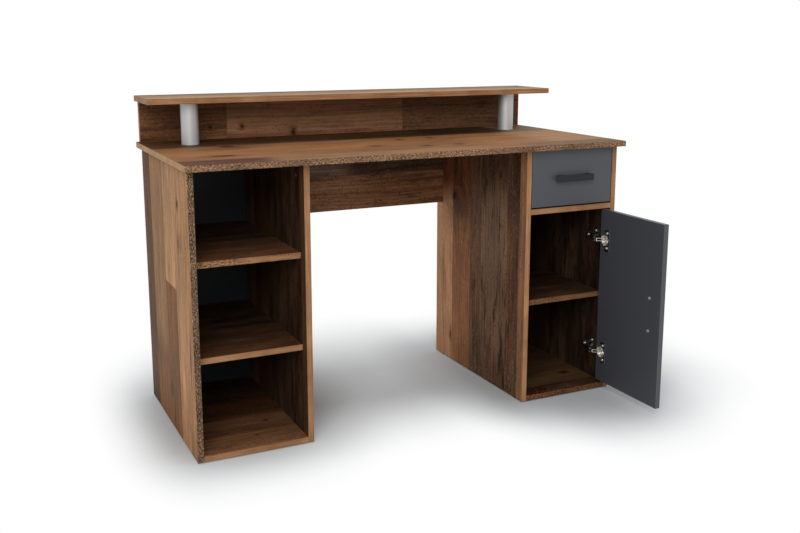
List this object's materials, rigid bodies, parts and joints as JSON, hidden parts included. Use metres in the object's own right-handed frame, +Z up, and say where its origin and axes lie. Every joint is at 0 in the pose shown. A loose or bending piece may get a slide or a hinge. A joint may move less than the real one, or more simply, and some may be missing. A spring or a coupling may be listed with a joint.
{
  "type": "computer desk",
  "caption": "Computer desk with an open shelf pedestal, a drawer and cupboard pedestal, a modesty panel and a long monitor shelf on round tubes.",
  "frame": {"origin": "on the floor, at the middle of the desk's box with the door open at a right angle", "axes": "+X along the desk to the user's right, +Y from the user towards the desk's back, +Z up"},
  "size_m": [1.3, 0.834, 0.9],
  "materials": {
    "plank_decor": "matt reclaimed-plank decor in tan, red-brown and grey-brown planks",
    "graphite_front": "smooth matt graphite grey decor",
    "dark_hardboard": "thin hardboard with a dark grey face",
    "drawer_board": "light grey melamine",
    "pale_hardboard": "thin hardboard with a light grey face",
    "satin_steel": "satin silver tube",
    "anthracite_metal": "satin anthracite coating",
    "nickel_steel": "nickel-plated steel",
    "grey_runner_steel": "light grey powder-coated steel",
    "zinc_steel": "bright zinc-plated steel",
    "cast_zinc": "plain die-cast zinc",
    "white_nylon": "off-white nylon",
    "black_plastic": "black moulded plastic",
    "beech": "plain fluted beech"
  },
  "bodies": {
    "carcass": {"worktop": "plank_decor", "monitor_shelf": "plank_decor", "riser_backboard": "plank_decor", "riser_tube_left": "satin_steel", "riser_tube_right": "satin_steel", "tube_end_plugs": "black_plastic", "tube_bolts": "zinc_steel", "tube_studs": "zinc_steel", "left_outer_side": "plank_decor", "left_inner_side": "plank_decor", "left_bottom_board": "plank_decor", "left_lower_shelf": "plank_decor", "left_upper_shelf": "plank_decor", "left_back_panel": "dark_hardboard", "right_inner_side": "plank_decor", "right_outer_side": "plank_decor", "right_bottom_board": "plank_decor", "drawer_divider": "plank_decor", "cupboard_shelf": "plank_decor", "right_back_panel": "dark_hardboard", "modesty_panel": "plank_decor", "cam_locks": "cast_zinc", "cam_bolts": "zinc_steel", "wooden_dowels": "beech", "shelf_pins": "nickel_steel", "floor_glides": "black_plastic", "cabinet_runner_left": "grey_runner_steel", "cabinet_runner_right": "grey_runner_steel", "cabinet_runner_screws": "zinc_steel", "hinge_plate_upper": "nickel_steel", "hinge_arm_upper": "nickel_steel", "hinge_plate_lower": "nickel_steel", "hinge_arm_lower": "nickel_steel", "hinge_pins": "nickel_steel", "hinge_plate_screws": "nickel_steel", "hinge_arm_screws": "nickel_steel"},
    "door": {"door_panel": "graphite_front", "door_handle": "anthracite_metal", "door_handle_screws": "nickel_steel", "hinge_cup_upper": "nickel_steel", "hinge_cup_lower": "nickel_steel", "hinge_cup_screws": "nickel_steel"},
    "hinge_links": {"hinge_link_upper": "nickel_steel", "hinge_link_lower": "nickel_steel"},
    "drawer": {"drawer_front": "graphite_front", "drawer_left_wall": "drawer_board", "drawer_right_wall": "drawer_board", "drawer_back": "drawer_board", "drawer_floor": "pale_hardboard", "drawer_handle": "anthracite_metal", "drawer_handle_screws": "nickel_steel", "drawer_cam_locks": "cast_zinc", "drawer_cam_bolts": "zinc_steel", "drawer_back_screws": "zinc_steel", "drawer_runner_left": "grey_runner_steel", "drawer_runner_right": "grey_runner_steel", "drawer_runner_screws": "zinc_steel"},
    "cabinet_roller_pair": {"cabinet_rollers": "white_nylon"},
    "drawer_roller_pair": {"drawer_rollers": "white_nylon"}
  },
  "joints": [
    {"name": "door_swing", "type": "hinge", "parent": "carcass", "child": "door", "pos_m": [0.614, -0.148, 0.029], "axis": [0, 0, 1], "range_deg": [-90, 5]},
    {"name": "hinge_link_turn", "type": "hinge", "parent": "carcass", "child": "hinge_links", "pos_m": [0.5866, -0.1389, 0.029], "axis": [0, 0, 1], "range_deg": [-3, 42]},
    {"name": "drawer_slide", "type": "slide", "parent": "carcass", "child": "drawer", "axis": [0, -1, 0], "range_m": [0, 0.33]},
    {"name": "cabinet_roller_turn", "type": "hinge", "parent": "carcass", "child": "cabinet_roller_pair", "pos_m": [0.343, -0.1195, 0.605], "axis": [1, 0, 0], "continuous": true},
    {"name": "drawer_roller_turn", "type": "hinge", "parent": "drawer", "child": "drawer_roller_pair", "pos_m": [0.343, 0.3035, 0.605], "axis": [1, 0, 0], "continuous": true}
  ],
  "couplings": [
    {"joint": "hinge_link_turn", "follows": "door_swing", "ratio": -0.459},
    {"joint": "cabinet_roller_turn", "follows": "drawer_slide", "rad_per_m": 95.238},
    {"joint": "drawer_roller_turn", "follows": "drawer_slide", "rad_per_m": 95.238}
  ]
}
